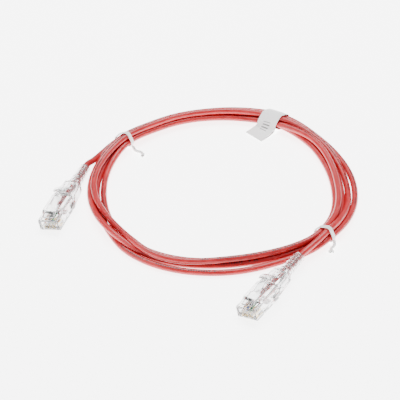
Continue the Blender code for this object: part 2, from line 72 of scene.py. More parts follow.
# The cable leaves each boot straight for this far.
STRAIGHT = 4 * MM
PLUGS = {
    "a": {"boot_end": (-46.85 * MM, 60.14 * MM), "heading": 251.0, "roll": 13.0},
    "b": {"boot_end": (68.57 * MM, -15.14 * MM), "heading": 236.5, "roll": 13.0},
}


def outward_at(degrees):
    """The direction from the middle of the ring outwards, at an angle seen from above."""
    return Vector((math.cos(math.radians(degrees)), math.sin(math.radians(degrees)), 0))


def plug_matrix(letter):
    """The plug's own frame: +X to the nose, +Z to the latch, origin under the nose."""
    plug = PLUGS[letter]
    roll = math.radians(plug["roll"])
    lift = HOUSING_WIDTH / 2 * math.sin(roll)
    turn = Matrix.Rotation(math.radians(plug["heading"]), 4, "Z")
    nose = turn @ Vector((HOUSING_LENGTH + GAP + BOOT_LENGTH, 0, 0))
    place = Matrix.Translation(nose + Vector((*plug["boot_end"], lift)))
    return place @ turn @ Matrix.Rotation(roll, 4, "X")


def boot_exit(letter, further=0.0):
    """The middle of the cable where it leaves the boot, or a little further along."""
    back = HOUSING_LENGTH + GAP + BOOT_LENGTH + further
    return plug_matrix(letter) @ Vector((-back, 0, AXIS_HEIGHT))


for letter in PLUGS:
    print("boot", letter, "ends at", [round(value / MM, 1) for value in boot_exit(letter)], "mm")

# %% [markdown]
# ## Camera
# The coil is seen from in front and above, from about a metre away with a long lens, so that the
# round coil shows as an oval and the plugs hardly shrink with distance.

# %% Camera
CAMERA_TARGET = Vector((16.0 * MM, 38.7 * MM, 0))
CAMERA_HEIGHT = 39.0
CAMERA_DISTANCE = 1.0

camera_data = bpy.data.cameras.new("camera")
camera_data.lens = 165
camera_data.sensor_width = 36
camera = bpy.data.objects.new("camera", camera_data)
bpy.context.scene.collection.objects.link(camera)
rise = math.radians(CAMERA_HEIGHT)
camera.location = CAMERA_TARGET + CAMERA_DISTANCE * Vector((0, -math.cos(rise), math.sin(rise)))
camera.rotation_euler = (math.radians(90 - CAMERA_HEIGHT), 0, 0)
bpy.context.scene.camera = camera
print("camera at", [round(value, 3) for value in camera.location])

# %% [markdown]
# ## The route of the cable
# Going clockwise from plug a, the cable passes tie a, runs round the back to tie b, and then
# round the front to tie a again, four and a half times, and leaves for plug b. At each tie and
# at a few places between, every turn has a slot in the bundle: so many diameters out from the
# middle, and so many up. The route goes smoothly from slot to slot.

# %% Slots of the turns
# Travel is the angle gone round since the start of the lap, and each lap has the same stops.
STOPS = (0, 37, 76, 106, 142, 180, 200, 226, 262, 286, 322)
LAPS = (
    (
        (1.1, 0), (1.1, 0), (1.1, 0), (0, 0), (-0.6, 0), (0, 0), (0, 0), (0, 0), (0.1, 0), (1, 0.87),
        (1.05, 0),
    ),
    (
        (0.45, 0.88), (0.45, 0.88), (0.45, 0.88), (1.1, 0), (1.55, 0), (0.92, 0.38), (1, 0),
        (1.62, 0), (1.1, 0), (0.5, 0), (0, 0),
    ),
    (
        (0, 0), (0, 0), (0, 0), (-0.92, 0.38), (-1.6, 0), (-1.1, 0), (-1, 0), (-1, 0), (-0.9, 0),
        (-0.5, 0), (-1.05, 0),
    ),
    (
        (-0.8, 0.58), (-0.8, 0.58), (-0.85, 0.5), (-0.5, 1.27), (-1.1, 0.87), (-0.45, 0.88),
        (-0.35, 0.92), (-0.25, 0.95), (0.6, 0.87), (0, 0.87), (0.5, 0.87),
    ),
    ((-0.42, 1.5), (-0.42, 1.5), (-0.42, 1.45), (0.45, 0.88), (0.47, 0), (0.5, 1.27)),
)
# Radius of the middle of the bundle round the ring: travel in degrees, radius in millimetres.
RING_RADIUS = (
    (0, 66.0), (10, 64.8), (28, 64.3), (46, 64.3), (60, 65.3), (76, 66.2), (94, 66.4), (106, 66.3),
    (118, 66.3), (142, 67.8), (158, 69.3), (176, 70.0), (188, 69.3), (198, 67.3), (212, 65.6),
    (226, 65.5), (238, 66.5), (250, 68.2), (262, 69.4), (274, 69.4), (286, 68.6), (304, 67.8),
    (322, 67.6), (344, 67.0), (360, 66.0),
)
# A tie or the label lifts the bundle over this many degrees to either side of it.
LIFT_REACH = 22


def smooth_through(knots, values, where):
    """A smooth curve through values at knots, read at where."""
    knots = np.array(knots, float)
    values = np.array(values, float)
    slopes = np.gradient(values, knots, axis=0)
    where = np.clip(where, knots[0], knots[-1])
    spot = np.clip(np.searchsorted(knots, where) - 1, 0, len(knots) - 2)
    width = knots[spot + 1] - knots[spot]
    t = (where - knots[spot]) / width
    if values.ndim > 1:
        t = t[:, None]
        width = width[:, None]
    return (
        (2 * t**3 - 3 * t**2 + 1) * values[spot]
        + (t**3 - 2 * t**2 + t) * width * slopes[spot]
        + (3 * t**2 - 2 * t**3) * values[spot + 1]
        + (t**3 - t**2) * width * slopes[spot + 1]
    )


def ring_radius(travel):
    """The radius of the middle of the bundle, in metres."""
    lap = np.mod(travel, 360.0)
    return smooth_through(*zip(*RING_RADIUS), lap) * MM


def foot(travel):
    """The ties and the label pass under the bundle and lift it off the table a little."""
    lift = np.zeros_like(travel)
    for angle, under in ((TIE_A_ANGLE, TIE_THICK), (TIE_B_ANGLE, TIE_THICK), (LABEL_ANGLE, LABEL_UNDER)):
        away = np.abs(np.mod(travel - (LAP_START - angle) + 180.0, 360.0) - 180.0)
        share = (1 + np.cos(np.pi * np.minimum(1, away / LIFT_REACH))) / 2
        lift = np.maximum(lift, (under + GAP) * share)
    return lift


def coil_points(step_degrees=2.5):
    """Points along all the turns, read from the slots."""
    knots = [360 * lap + stop for lap, slots in enumerate(LAPS) for stop, _ in zip(STOPS, slots)]
    slots = [slot for lap in LAPS for slot in lap]
    travel = np.arange(0, knots[-1] + 0.01, step_degrees)
    side, up = smooth_through(knots, slots, travel).T
    radius = ring_radius(travel) + side * CABLE_D
    angle = np.radians(LAP_START - travel)
    height = foot(travel) + CABLE_D * (0.5 + np.maximum(up, 0))
    return np.column_stack(
        (RING_CENTRE.x + radius * np.cos(angle), RING_CENTRE.y + radius * np.sin(angle), height)
    )


# The tails, from each boot to the coil, in millimetres.
TAIL_A = ((-43.9, 68.45, 3.7), (-38.6, 77.75, 2.0), (-33.4, 85.0, 2.2))
TAIL_B = ((78.6, -2.2, 6.3), (74.0, -7.1, 5.6))


def resample(points, step):
    """Points an even step apart on a smooth curve through the given ones."""
    points = np.array(points, float)
    along = np.concatenate(([0], np.cumsum(np.linalg.norm(np.diff(points, axis=0), axis=1))))
    count = round(along[-1] / step)
    fine = smooth_through(along, points, np.linspace(0, along[-1], count * 8 + 1))
    run = np.concatenate(([0], np.cumsum(np.linalg.norm(np.diff(fine, axis=0), axis=1))))
    even = np.linspace(0, run[-1], count + 1)
    return np.column_stack([np.interp(even, run, fine[:, axis]) for axis in range(3)])


STEP = 3.0 * MM
coil = coil_points()
route = np.vstack(
    [
        [boot_exit("a"), boot_exit("a", STRAIGHT)],
        np.array(TAIL_A) * MM,
        coil[1:-1],
        np.array(TAIL_B) * MM,
        [boot_exit("b", STRAIGHT), boot_exit("b")],
    ]
)
route = resample(route, STEP)
print("route:", len(route), "points,", round(STEP * (len(route) - 1), 3), "m")

# %% [markdown]
# ## Settling the turns
# The slots say where the turns are, but between them two turns may cross, and there one has to
# climb over the other. Real cable cannot pass through itself, so points that are closer than a
# diameter are pushed apart, round after round, while the table holds them up. The change is kept
# smooth along the cable, because a cable is stiff, and so the closest turns end up a little less
# than a diameter apart. Nothing here is random.

# %% Push the turns apart
ROUNDS = 160
# Points this near to each other along the cable are one strand, not two turns.
NEIGHBOURS = 4
# Points at each end that the boot holds, and points at each end that no tie or label lifts.
HELD, UNLIFTED = 3, 8
# The part of each overlap that one round takes away, and how far a round lets the cable sink.
MEND, SINK = 0.35, 0.002 * MM
# Added to each distance, so that a point's distance to itself is not zero.
TINY = 1e-9


def settle(points):
    """Pushes overlapping turns apart, round after round, and prints the closest distance left."""
    start = points.copy()
    order = np.arange(len(points))
    far_along = np.abs(order[:, None] - order[None, :]) > NEIGHBOURS
    free = np.ones(len(points))
    free[:HELD] = free[-HELD:] = 0
    around = np.degrees(np.arctan2(start[:, 1] - RING_CENTRE.y, start[:, 0] - RING_CENTRE.x))
    lowest = CABLE_D / 2 + foot(LAP_START - around)
    lowest[:UNLIFTED] = lowest[-UNLIFTED:] = CABLE_D / 2
    for _ in range(ROUNDS):
        gap = points[:, None, :] - points[None, :, :]
        distance = np.sqrt((gap**2).sum(2)) + TINY
        close = far_along & (distance < CABLE_D)
        push = np.where(close, (CABLE_D - distance) / distance, 0.0)
        move = (gap * push[:, :, None]).sum(1) * MEND
        points = points + move * free[:, None]
        points[:, 2] -= SINK * free
        points[:, 2] = np.maximum(points[:, 2], lowest)
        change = points - start
        eased = change.copy()
        eased[1:-1] = 0.5 * change[1:-1] + 0.25 * (change[:-2] + change[2:])
        points = start + eased * free[:, None]
    points[:, 2] = np.maximum(points[:, 2], CABLE_D / 2 + HAIR)
    distance = np.sqrt(((points[:, None, :] - points[None, :, :]) ** 2).sum(2))
    nearest = np.where(far_along, distance, np.inf).min(1)
    print("closest turns:", round(nearest.min() / MM, 2), "mm,",
          "points nearer than 0.9 of a diameter:", int((nearest < 0.9 * CABLE_D).sum()))
    return points


route = settle(route)

# %% [markdown]
# ## Carrying a profile along a path
# The cable, the flat ties and the paper label are all one profile carried along a path. A curve
# with a bevel could do it, but a mesh lets each piece have a UV map in metres, so that grain,
# print and scuffs follow the cable round its turns at their real size.

# %% Sweep a profile
def directions(path, closed=False):
    """Which way a path runs at each of its points."""
    count = len(path)
    found = []
    for i in range(count):
        before = path[i - 1] if i or closed else path[0]
        after = path[(i + 1) % count] if i < count - 1 or closed else path[-1]
        found.append((Vector(after) - Vector(before)).normalized())
    return found


def carried(tangents):
    """A normal that starts upward and is carried along without twisting."""
    normals = [tangents[0].cross(Vector((0, 0, 1))).cross(tangents[0]).normalized()]
    for first, second in zip(tangents, tangents[1:]):
        normals.append(first.rotation_difference(second) @ normals[-1])
    return normals


def sweep(name, path, profile, normals=None, closed=False):
    """A mesh of a profile carried along a path. Its UV map is metres along and metres around."""
    path = [Vector(place) for place in path]
    count = len(path)
    tangents = directions(path, closed)
    normals = normals or carried(tangents)
    shape = bmesh.new()
    uv = shape.loops.layers.uv.new("uv")
    rings = []
    for place, tangent, normal in zip(path, tangents, normals):
        normal = (normal - tangent * normal.dot(tangent)).normalized()
        side = tangent.cross(normal)
        rings.append([shape.verts.new(place + normal * a + side * b) for a, b in profile])
    around = [0.0]
    for i in range(len(profile)):
        first, second = Vector(profile[i]), Vector(profile[(i + 1) % len(profile)])
        around.append(around[-1] + (second - first).length)
    along = 0.0
    for i in range(count if closed else count - 1):
        following = (i + 1) % count
        reach = along + (path[following] - path[i]).length
        for j in range(len(profile)):
            k = (j + 1) % len(profile)
            face = shape.faces.new((rings[i][j], rings[i][k], rings[following][k], rings[following][j]))
            places = ((along, around[j]), (along, around[j + 1]), (reach, around[j + 1]), (reach, around[j]))
            for loop, place in zip(face.loops, places):
                loop[uv].uv = place
        along = reach
    if not closed:
        shape.faces.new(rings[0])
        shape.faces.new(reversed(rings[-1]))
    bmesh.ops.recalc_face_normals(shape, faces=shape.faces)
    mesh = bpy.data.meshes.new(name)
    shape.to_mesh(mesh)
    shape.free()
    made = bpy.data.objects.new(name, mesh)
    bpy.context.scene.collection.objects.link(made)
    return made


def smooth(piece, degrees=35):
    """Smooth shading that keeps the edges sharper than an angle."""
    bpy.ops.object.select_all(action="DESELECT")
    bpy.context.view_layer.objects.active = piece
    piece.select_set(True)
    bpy.ops.object.shade_smooth_by_angle(angle=math.radians(degrees))


def circle(radius, sides):
    """A round profile."""
    turns = [2 * math.pi * i / sides for i in range(sides)]
    return [(radius * math.cos(turn), radius * math.sin(turn)) for turn in turns]


print("a profile of", len(circle(CABLE_D / 2, 16)), "sides is ready")

# %% [markdown]
# ## Node tools and shared wear
# Every finish starts from the same few effects: blotches a few millimetres wide, grain finer than
# half a millimetre, and thin scratches from handling. They live in one node group, which gives
# masks and a normal, and each material decides what to do with them.

# %% Node helpers
def start_material(name):
    """A new material, with its node tree and its shader."""
    made = bpy.data.materials.new(name)
    made.use_nodes = True
    return made, made.node_tree, made.node_tree.nodes["Principled BSDF"]


def add(tree, kind, values=None, **settings):
    """A new node with its settings and inputs. An input may be another node's output."""
    made = tree.nodes.new("ShaderNode" + kind)
    for key, value in settings.items():
        setattr(made, key, value)
    for key, value in (values or {}).items():
        if isinstance(value, bpy.types.NodeSocket):
            tree.links.new(value, made.inputs[key])
        else:
            made.inputs[key].default_value = value
    return made


def maths(tree, operation, first, second=0.0):
    """One sum with one or two values."""
    return add(tree, "Math", {0: first, 1: second}, operation=operation).outputs[0]


def spread(tree, value, low, high, to_low=0.0, to_high=1.0):
    """A value stretched from one range to another."""
    made = add(tree, "MapRange", {"Value": value, "From Min": low, "From Max": high})
    made.inputs["To Min"].default_value = to_low
    made.inputs["To Max"].default_value = to_high
    return made.outputs["Result"]


def blend(tree, share, first, second):
    """A colour between two."""
    made = tree.nodes.new("ShaderNodeMix")
    made.data_type = "RGBA"
    ends = [socket for socket in made.inputs if socket.type == "RGBA"]
    tree.links.new(share, made.inputs[0])
    for end, colour in zip(ends, (first, second)):
        if isinstance(colour, bpy.types.NodeSocket):
            tree.links.new(colour, end)
        else:
            end.default_value = (*colour, 1)
    return next(socket for socket in made.outputs if socket.type == "RGBA")


print("node helpers are ready: start_material, add, maths, spread and blend")

# %% [markdown]
# Noise scales are counts per metre: 170 makes blotches of about 6 mm, and 2600 a grain of 0.4 mm.
# The scratches are a noise that is stretched along one direction and cut off near its top.

# %% Wear group
BLOTCH_SCALE, GRAIN_SCALE = 170.0, 2600.0
SCRATCH_STRETCH, SCRATCH_TURN = (90.0, 1700.0, 900.0), 0.35

wear = bpy.data.node_groups.new("handling_wear", "ShaderNodeTree")
for name, way, kind in (
    ("Vector", "INPUT", "Vector"), ("Depth", "INPUT", "Float"), ("Blotch", "OUTPUT", "Float"),
    ("Grain", "OUTPUT", "Float"), ("Scratch", "OUTPUT", "Float"), ("Normal", "OUTPUT", "Vector"),
):
    wear.interface.new_socket(name, in_out=way, socket_type="NodeSocket" + kind)
given = wear.nodes.new("NodeGroupInput").outputs
results = wear.nodes.new("NodeGroupOutput").inputs
blotch = add(wear, "TexNoise", {"Vector": given["Vector"], "Scale": BLOTCH_SCALE, "Detail": 3.0})
grain = add(wear, "TexNoise", {"Vector": given["Vector"], "Scale": GRAIN_SCALE, "Detail": 2.0})
drawn = add(wear, "Mapping", {"Vector": given["Vector"], "Scale": SCRATCH_STRETCH,
                              "Rotation": (0.0, 0.0, SCRATCH_TURN)})
scratch_noise = add(wear, "TexNoise", {"Vector": drawn.outputs[0], "Scale": 1.0, "Detail": 4.0})
scratch = spread(wear, scratch_noise.outputs["Fac"], 0.64, 0.72)
height = maths(wear, "SUBTRACT", maths(wear, "MULTIPLY", grain.outputs["Fac"], 0.5), scratch)
bump = add(wear, "Bump", {"Strength": 0.6, "Distance": given["Depth"], "Height": height})
for name, socket in (("Blotch", blotch.outputs["Fac"]), ("Grain", grain.outputs["Fac"]),
                     ("Scratch", scratch), ("Normal", bump.outputs["Normal"])):
    wear.links.new(socket, results[name])


def add_wear(tree, vector, depth):
    """The wear group in a material, with the depth of its relief in metres. Returns its outputs."""
    made = tree.nodes.new("ShaderNodeGroup")
    made.node_tree = wear
    tree.links.new(vector, made.inputs["Vector"])
    made.inputs["Depth"].default_value = depth
    return made.outputs


def connect(tree, shader, colour, roughness, normal):
    """Puts the three results that every finish has into its shader."""
    tree.links.new(colour, shader.inputs["Base Color"])
    tree.links.new(roughness, shader.inputs["Roughness"])
    tree.links.new(normal, shader.inputs["Normal"])


print("wear group:", len(wear.nodes), "nodes")

# %% [markdown]
# ## Red jacket
# The jacket is soft PVC, drawn through a die: satin, with very fine lines along it. The pairs
# inside are twisted, and their lay shows as a faint ripple every 13 mm or so. Factories print a
# line of small marks along it. Here the print is only short dashes, with some left out, in
# groups along a row. The row follows the UV map, so it stays with the cable.

# %% Where the print goes
# The print faces up on the first lap's strand, beside the gap between the turns at the front of
# the ring. Only the first 120 points are looked at, which pass the front once.
tangents = directions(route)
normals = carried(tangents)
front = min(range(120), key=lambda i: (Vector(route[i]) - RING_CENTRE).y)
side = tangents[front].cross(normals[front])
aim = Vector((0, -0.35, 0.94))
PRINT_AT = math.atan2(aim.dot(side), aim.dot(normals[front])) % (2 * math.pi) * CABLE_D / 2
# Half the row's width, a dash with its gap, the dash's share of that, and the share left out.
PRINT_HALF_WIDTH = 0.5 * MM
DASH_CELL, DASH_SHARE, LEFT_OUT = 1.35 * MM, 0.62, 0.22
# Dashes come in groups. One begins 26 mm before the point at the front. Ten whole groups are
# taken off as well, so that the distance from there is above zero all along the cable.
GROUP_EVERY, GROUP_SHARE = 0.155, 0.36
GROUP_START = front * STEP - 26 * MM - 10 * GROUP_EVERY
# One lay of the pairs along the cable, and about once round the jacket.
LAY_LENGTH, LAY_ROUND = 0.013, 0.011
print("print row at", round(PRINT_AT / MM, 2), "mm around, seen at point", front)

# %% Jacket material
RED, tree, shader = start_material("red_jacket")
place = add(tree, "UVMap", uv_map="uv").outputs["UV"]
worn = add_wear(tree, place, 0.012 * MM)
parts = add(tree, "SeparateXYZ", {"Vector": place})
along, around = parts.outputs["X"], parts.outputs["Y"]
colour = blend(tree, spread(tree, worn["Blotch"], 0.35, 0.7), (0.38, 0.005, 0.009), (0.50, 0.011, 0.016))
colour = blend(tree, maths(tree, "MULTIPLY", worn["Scratch"], 0.3), colour, (0.78, 0.20, 0.19))

from_row = maths(tree, "ABSOLUTE", maths(tree, "SUBTRACT", around, PRINT_AT))
row = maths(tree, "LESS_THAN", from_row, PRINT_HALF_WIDTH)
cell = maths(tree, "DIVIDE", along, DASH_CELL)
dash = maths(tree, "LESS_THAN", maths(tree, "FRACT", cell), DASH_SHARE)
chance = add(tree, "TexWhiteNoise", {"W": maths(tree, "FLOOR", cell)}, noise_dimensions="1D")
kept = maths(tree, "GREATER_THAN", chance.outputs["Value"], LEFT_OUT)
since = maths(tree, "SUBTRACT", along, GROUP_START)
in_group = maths(tree, "FRACT", maths(tree, "DIVIDE", since, GROUP_EVERY))
group = maths(tree, "LESS_THAN", in_group, GROUP_SHARE)
printed = maths(tree, "MULTIPLY", maths(tree, "MULTIPLY", row, dash), maths(tree, "MULTIPLY", kept, group))
colour = blend(tree, maths(tree, "MULTIPLY", printed, 0.95), colour, (0.06, 0.004, 0.006))

lines = add(tree, "Mapping", {"Vector": place, "Scale": (40.0, 2400.0, 1.0)})
drawn_lines = add(tree, "TexNoise", {"Vector": lines.outputs[0], "Scale": 1.0, "Detail": 2.0})
lay = maths(tree, "SINE", maths(tree, "ADD", maths(tree, "MULTIPLY", along, 2 * math.pi / LAY_LENGTH),
                                maths(tree, "MULTIPLY", around, 2 * math.pi / LAY_ROUND)))
ripple = add(tree, "Bump", {"Strength": 0.35, "Distance": 0.06 * MM, "Height": lay,
                            "Normal": worn["Normal"]})
fine = add(tree, "Bump", {"Strength": 0.35, "Distance": 0.02 * MM, "Height": drawn_lines.outputs["Fac"],
                          "Normal": ripple.outputs["Normal"]})
connect(tree, shader, colour, spread(tree, worn["Blotch"], 0.3, 0.75, 0.30, 0.44), fine.outputs["Normal"])
shader.inputs["IOR"].default_value = 1.53
shader.inputs["Subsurface Weight"].default_value = 0.06
shader.inputs["Subsurface Radius"].default_value = (0.8 * MM, 0.2 * MM, 0.15 * MM)
print("jacket material:", len(tree.nodes), "nodes")

# %% [markdown]
# ## The cable and its ends in the plugs
# The strand between the boots is one closed tube along the settled route. Inside each boot and
# housing the same jacket goes on to where the wires fan out, as a piece of its own, because it is
# held in the plug.

# %% Cable
cable = sweep("cable", route, circle(CABLE_D / 2, 16))
smooth(cable)
cable.data.materials.append(RED)
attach(cable, "cable")
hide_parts("cable_coil", "cable_tail_a", "cable_tail_b")

# %% Jacket ends
# How far behind the plug's nose the jacket begins, and how far behind it the boot ends.
JACKET_FRONT = 11.5 * MM
JACKET_BACK = HOUSING_LENGTH + GAP + BOOT_LENGTH
JACKET_STEPS = 24
for letter in PLUGS:
    places = [
        (-JACKET_BACK + 2 * HAIR + (JACKET_BACK - JACKET_FRONT) * i / JACKET_STEPS, 0, AXIS_HEIGHT)
        for i in range(JACKET_STEPS + 1)
    ]
    end = sweep(f"jacket_{letter}", [plug_matrix(letter) @ Vector(place) for place in places],
                circle(CABLE_D / 2 - HAIR, 24))
    smooth(end)
    end.data.materials.append(RED)
    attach(end, "cable")
    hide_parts(f"jacket_end_{letter}")
    print(end.name, len(end.data.polygons), "faces")

# %% [markdown]
# ## Twist ties
# A twist tie is a flat ribbon of white plastic with a steel wire down its middle, which shows as
# a ridge. It goes once round the turns and its two ends are twisted together. The path round the
# turns is what a taut string would take: for every direction, the strand that reaches furthest.

# %% Path of a band round the turns
def strands_at(angle):
    """Radius and height of every turn where the ring is cut at an angle."""
    offset = route - np.array(RING_CENTRE)
    turn = np.mod(np.degrees(np.arctan2(offset[:, 1], offset[:, 0])) - angle + 180, 360) - 180
    found = []
    for i in range(len(route) - 1):
        if turn[i] * turn[i + 1] <= 0 and abs(turn[i] - turn[i + 1]) < 90:
            t = turn[i] / (turn[i] - turn[i + 1])
            spot = offset[i] + t * (offset[i + 1] - offset[i])
            found.append((math.hypot(spot[0], spot[1]), spot[2]))
    return found


def taut_round(angle, clearance, count, first=0.0, last=360.0):
    """Points of a taut loop round the turns, as radius and height, and its outward directions."""
    strands = strands_at(angle)
    loop = []
    for i in range(count):
        turn = math.radians(first + (last - first) * i / count)
        aim = (math.cos(turn), math.sin(turn))
        radius, height = max(strands, key=lambda strand: strand[0] * aim[0] + strand[1] * aim[1])
        reach = CABLE_D / 2 + clearance
        loop.append(((radius + reach * aim[0], height + reach * aim[1]), aim))
    return loop


for angle in (TIE_A_ANGLE, LABEL_ANGLE, TIE_B_ANGLE):
    print("turns at", angle, [(round(r / MM, 1), round(z / MM, 1)) for r, z in strands_at(angle)])

# %% Tie material
TIE_WHITE, tree, shader = start_material("tie_white")
place = add(tree, "UVMap", uv_map="uv").outputs["UV"]
worn = add_wear(tree, place, 0.02 * MM)
colour = blend(tree, spread(tree, worn["Blotch"], 0.35, 0.7), (0.92, 0.92, 0.90), (0.98, 0.98, 0.97))
colour = blend(tree, maths(tree, "MULTIPLY", worn["Scratch"], 0.18), colour, (0.70, 0.69, 0.67))
connect(tree, shader, colour, spread(tree, worn["Grain"], 0.3, 0.7, 0.34, 0.5), worn["Normal"])
shader.inputs["Subsurface Weight"].default_value = 0.15
shader.inputs["Subsurface Radius"].default_value = (0.6 * MM, 0.6 * MM, 0.55 * MM)
print("tie material:", len(tree.nodes), "nodes")

# %% Profile of a tie, and its twisted ends
TIE_WIDTH = 2.2 * MM
half, edge, ridge = TIE_WIDTH / 2, 0.14 * MM, 0.38 * MM
RIBBON = [
    (edge, -half), (-edge, -half), (-edge, -half * 0.4), (-ridge, -half * 0.2), (-ridge, half * 0.2),
    (-edge, half * 0.4), (-edge, half), (edge, half), (edge, half * 0.4), (ridge, half * 0.2),
    (ridge, -half * 0.2), (edge, -half * 0.4),
]
# The two ends leave tie a on the inner side of the ring, and tie b on the outer side. Each point
# is so far outwards from that side, so far along the ring and so high, in millimetres.
TIE_ENDS = {
    "a": (TIE_A_ANGLE, min, ((0, 0, 2.2), (-3.2, 1.2, 1.3), (-6.4, 0.6, 1.2), (-9.0, 2.4, 1.3))),
    "b": (TIE_B_ANGLE, max, ((0, 0, 2.6), (1.6, -2.2, 1.6), (1.8, -5.2, 1.3), (3.4, -7.6, 1.4))),
}
# The length of one full twist, the step along it, and how far each end is from the middle.
TIE_TWIST, TWIST_STEP, TWIST_APART = 3.4 * MM, 0.35 * MM, 0.5 * MM
# At their tips the two ends spread by this much more, over this length.
TIP_SPREAD, TIP_LENGTH = 0.8 * MM, 1.6 * MM
# The lowest that the middle of the ribbon may lie, round the turns and in the twisted ends.
TIE_LOWEST, END_LOWEST = 0.42 * MM, 0.75 * MM
# The twisted ends are narrower than the ribbon, because it curls up when it is twisted.
END_NARROWED = 0.72


def twisted_end(middle, phase):
    """One of the two ends, wound round the line that they share."""
    lane, faces = [], []
    for i, spot in enumerate(middle):
        ahead = Vector(middle[min(i + 1, len(middle) - 1)]) - Vector(middle[max(i - 1, 0)])
        side = ahead.cross(Vector((0, 0, 1))).normalized()
        rise = side.cross(ahead).normalized()
        turn = 2 * math.pi * i * TWIST_STEP / TIE_TWIST + phase
        left = (len(middle) - 1 - i) * TWIST_STEP
        apart = TWIST_APART + TIP_SPREAD * max(0.0, 1 - left / TIP_LENGTH)
        off = side * math.cos(turn) + rise * math.sin(turn)
        lane.append(Vector(spot) + off * apart)
        lane[-1].z = max(lane[-1].z, END_LOWEST)
        faces.append(off)
    return sweep("tie_end", lane, [(a, b * END_NARROWED) for a, b in RIBBON], faces)


def join_up(name, pieces):
    """One object out of several."""
    bpy.ops.object.select_all(action="DESELECT")
    for piece in pieces:
        piece.select_set(True)
    bpy.context.view_layer.objects.active = pieces[0]
    bpy.ops.object.join()
    pieces[0].name = name
    return pieces[0]


print("ribbon profile:", len(RIBBON), "corners")

# %% Ties
# How far the middle of the ribbon stays off the cable, and how many points its loop has.
TIE_CLEARANCE, TIE_POINTS = GAP + 0.4 * MM, 72
for letter, (angle, side_of, ends) in TIE_ENDS.items():
    outward = outward_at(angle)
    tangent = Vector((-outward.y, outward.x, 0))
    path, normals, radii = [], [], []
    for (radius, height), aim in taut_round(angle, TIE_CLEARANCE, TIE_POINTS):
        path.append(RING_CENTRE + outward * radius + Vector((0, 0, max(height, TIE_LOWEST))))
        normals.append(outward * aim[0] + Vector((0, 0, aim[1])))
        radii.append(radius)
    pieces = [sweep(f"tie_{letter}", path, RIBBON, normals, closed=True)]
    middle = [
        RING_CENTRE + outward * (side_of(radii) + far * MM) + tangent * shift * MM + Vector((0, 0, up * MM))
        for far, shift, up in ends
    ]
    middle = resample(middle, TWIST_STEP)
    pieces += [twisted_end(middle, phase) for phase in (0.0, math.pi)]
    tie = join_up(f"tie_{letter}", pieces)
    smooth(tie, 40)
    tie.data.materials.append(TIE_WHITE)
    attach(tie, "cable")
    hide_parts(f"twist_tie_{letter}")
    print(tie.name, len(tie.data.polygons), "faces")

# %% [markdown]
# ## Paper label
# The label is a strip of coated paper. It goes under the turns, up and over them, and its two ends
# are stuck together as a double leaf that lies down inside the ring. The real one says how long the
# cable is. Here it carries a plain mark of three bars. Cloth simulation could lay the paper
# down, but it is stiff and short, so a thin profile is carried along a path that is drawn for it.
# Its UV map then runs along the paper.

# %% Label material
LABEL_WIDTH = 12.0 * MM
# The middle of the mark along the strip and across it, half its size each way, and its bars.
MARK_AT = (46.0 * MM, LABEL_WIDTH / 2)
MARK_HALF = (2.85 * MM, 2.3 * MM)
BAR_EVERY, BAR_HALF_SHARE = 1.9 * MM, 0.22
PAPER, tree, shader = start_material("label_paper")
place = add(tree, "UVMap", uv_map="uv").outputs["UV"]
worn = add_wear(tree, place, 0.02 * MM)
parts = add(tree, "SeparateXYZ", {"Vector": place})
along, around = parts.outputs["X"], parts.outputs["Y"]
fibre = add(tree, "TexNoise", {"Vector": place, "Scale": 900.0, "Detail": 6.0})
colour = blend(tree, spread(tree, fibre.outputs["Fac"], 0.3, 0.7), (0.92, 0.92, 0.91), (0.98, 0.98, 0.975))
colour = blend(tree, maths(tree, "MULTIPLY", worn["Scratch"], 0.2), colour, (0.62, 0.61, 0.58))
away = maths(tree, "SUBTRACT", along, MARK_AT[0])
in_bar = maths(tree, "SUBTRACT", maths(tree, "FRACT", maths(tree, "DIVIDE", away, BAR_EVERY)), 0.5)
bars = maths(tree, "LESS_THAN", maths(tree, "ABSOLUTE", in_bar), BAR_HALF_SHARE)
length = maths(tree, "LESS_THAN", maths(tree, "ABSOLUTE", away), MARK_HALF[0])
aside = maths(tree, "SUBTRACT", around, MARK_AT[1])
width = maths(tree, "LESS_THAN", maths(tree, "ABSOLUTE", aside), MARK_HALF[1])
mark = maths(tree, "MULTIPLY", maths(tree, "MULTIPLY", bars, length), width)
colour = blend(tree, maths(tree, "MULTIPLY", mark, 0.85), colour, (0.06, 0.06, 0.065))
connect(tree, shader, colour, spread(tree, worn["Blotch"], 0.3, 0.7, 0.45, 0.6), worn["Normal"])
print("paper material:", len(tree.nodes), "nodes")

# %% Path of the label
# The strip lies turned a little from straight outwards. Along it, x is outwards and z is up.
LABEL_TURN = -18.0
label_out = outward_at(LABEL_ANGLE + LABEL_TURN)
label_side = Vector((-label_out.y, label_out.x, 0))
turns = strands_at(LABEL_ANGLE)
middle_radius = (min(r for r, _ in turns) + max(r for r, _ in turns)) / 2
label_middle = RING_CENTRE + middle_radius * outward_at(LABEL_ANGLE)
# From low on the inner side the strip goes out under the turns, up, and back over them.
LABEL_CLEARANCE, LABEL_POINTS = 0.75 * MM, 40
over = taut_round(LABEL_ANGLE, LABEL_CLEARANCE, LABEL_POINTS, 205.0, 515.0)
flat = [(radius - middle_radius, max(height, LABEL_UNDER)) for (radius, height), _ in over]
inner = min(x for x, _ in flat)
